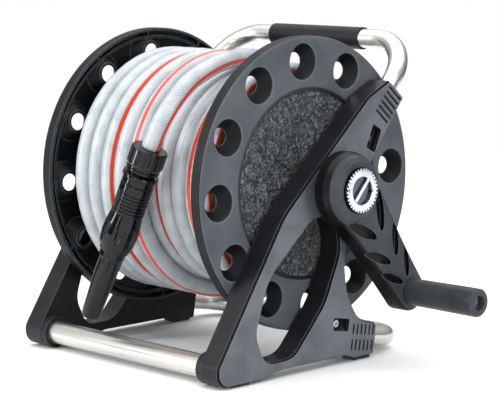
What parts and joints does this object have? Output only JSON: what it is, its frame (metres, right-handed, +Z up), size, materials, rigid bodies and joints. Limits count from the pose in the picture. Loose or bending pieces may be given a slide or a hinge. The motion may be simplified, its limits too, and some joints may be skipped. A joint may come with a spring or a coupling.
{
  "type": "hose reel cart",
  "caption": "Garden hose reel on a low frame of moulded sides and tubes, with a crank, a wound hose and an adjustable spray nozzle on a quick connector.",
  "frame": {"origin": "middle of the footprint on the ground, without the hose and nozzle", "axes": "+X along the reel's axis towards the crank, -Y the front where the nozzle hangs, +Z up"},
  "size_m": [0.4373, 0.3039, 0.314],
  "materials": {
    "frame_plastic": "fine matt grain",
    "foot_rubber": "matt",
    "grip_rubber": "soft matt",
    "steel": "bright zinc",
    "aluminium_tube": "bright satin",
    "bush_plastic": "smooth",
    "reel_plastic": "fine matt grain",
    "panel_plastic": "leather grain",
    "shaft_plastic": "smooth",
    "inlet_plastic": "smooth",
    "seal_rubber": "smooth",
    "crank_plastic": "fine satin grain",
    "chrome_cap": "polished",
    "hose": "smooth, reinforced with a white braid, orange stripes",
    "nozzle_black": "glossy",
    "nozzle_inner": "smooth"
  },
  "bodies": {
    "frame": {"frame_shell_right": "frame_plastic", "frame_shell_left": "frame_plastic", "frame_cover_right": "frame_plastic", "frame_cover_left": "frame_plastic", "foot_pads_right": "foot_rubber", "foot_pads_left": "foot_rubber", "frame_screws": "steel", "handle_tube": "aluminium_tube", "rear_tube": "aluminium_tube", "front_crossbar": "aluminium_tube", "handle_grip": "grip_rubber", "bush_right": "bush_plastic", "bush_left": "bush_plastic", "inlet_elbow": "inlet_plastic", "inlet_seals": "seal_rubber", "inlet_nipple": "inlet_plastic", "hose_tail": "hose", "connector_nut": "nozzle_black", "connector_core": "nozzle_black"},
    "reel": {"flange_right": "reel_plastic", "flange_left": "reel_plastic", "flange_panel_right": "panel_plastic", "flange_panel_left": "panel_plastic", "drum_screws_right": "steel", "drum_screws_left": "steel", "drum": "reel_plastic", "crank_shaft": "shaft_plastic", "water_axle": "shaft_plastic", "drum_elbow": "shaft_plastic", "outlet_barb": "shaft_plastic", "outlet_nut": "shaft_plastic", "crank_arm": "crank_plastic", "crank_cap": "chrome_cap", "crank_screw": "steel", "grip_spindle": "steel", "hose_coil": "hose"},
    "grip": {"crank_grip": "crank_plastic"},
    "collar": {"release_collar": "nozzle_black"},
    "nozzle": {"nozzle_spigot": "nozzle_inner", "nozzle_body": "nozzle_black", "nozzle_band": "nozzle_black", "spray_pin": "nozzle_inner"},
    "carrier": {"spray_carrier": "nozzle_inner"},
    "head": {"spray_head": "nozzle_black"}
  },
  "joints": [
    {"name": "reel_spin", "type": "hinge", "parent": "frame", "child": "reel", "pos_m": [-0.038, 0.00037, 0.173], "axis": [1, 0, 0], "continuous": true},
    {"name": "grip_spin", "type": "hinge", "parent": "reel", "child": "grip", "pos_m": [0.177, 0.08293, 0.06618], "axis": [1, 0, 0], "continuous": true},
    {"name": "collar_slide", "type": "slide", "parent": "frame", "child": "collar", "axis": [0.3698, 0.1177, 0.9216], "range_m": [0, 0.003], "stiffness_N_per_m": 150, "springref_m": -0.001},
    {"name": "nozzle_swivel", "type": "hinge", "parent": "frame", "child": "nozzle", "pos_m": [-0.0004, -0.13063, 0.2117], "axis": [-0.3698, -0.1177, -0.9216], "continuous": true},
    {"name": "spray_travel", "type": "slide", "parent": "nozzle", "child": "carrier", "axis": [-0.3698, -0.1177, -0.9216], "range_m": [0, 0.004]},
    {"name": "spray_twist", "type": "hinge", "parent": "carrier", "child": "head", "pos_m": [-0.0004, -0.13063, 0.2117], "axis": [-0.3698, -0.1177, -0.9216], "range_deg": [0, 300]}
  ],
  "couplings": [
    {"joint": "spray_twist", "follows": "spray_travel", "rad_per_m": 1308.9}
  ]
}
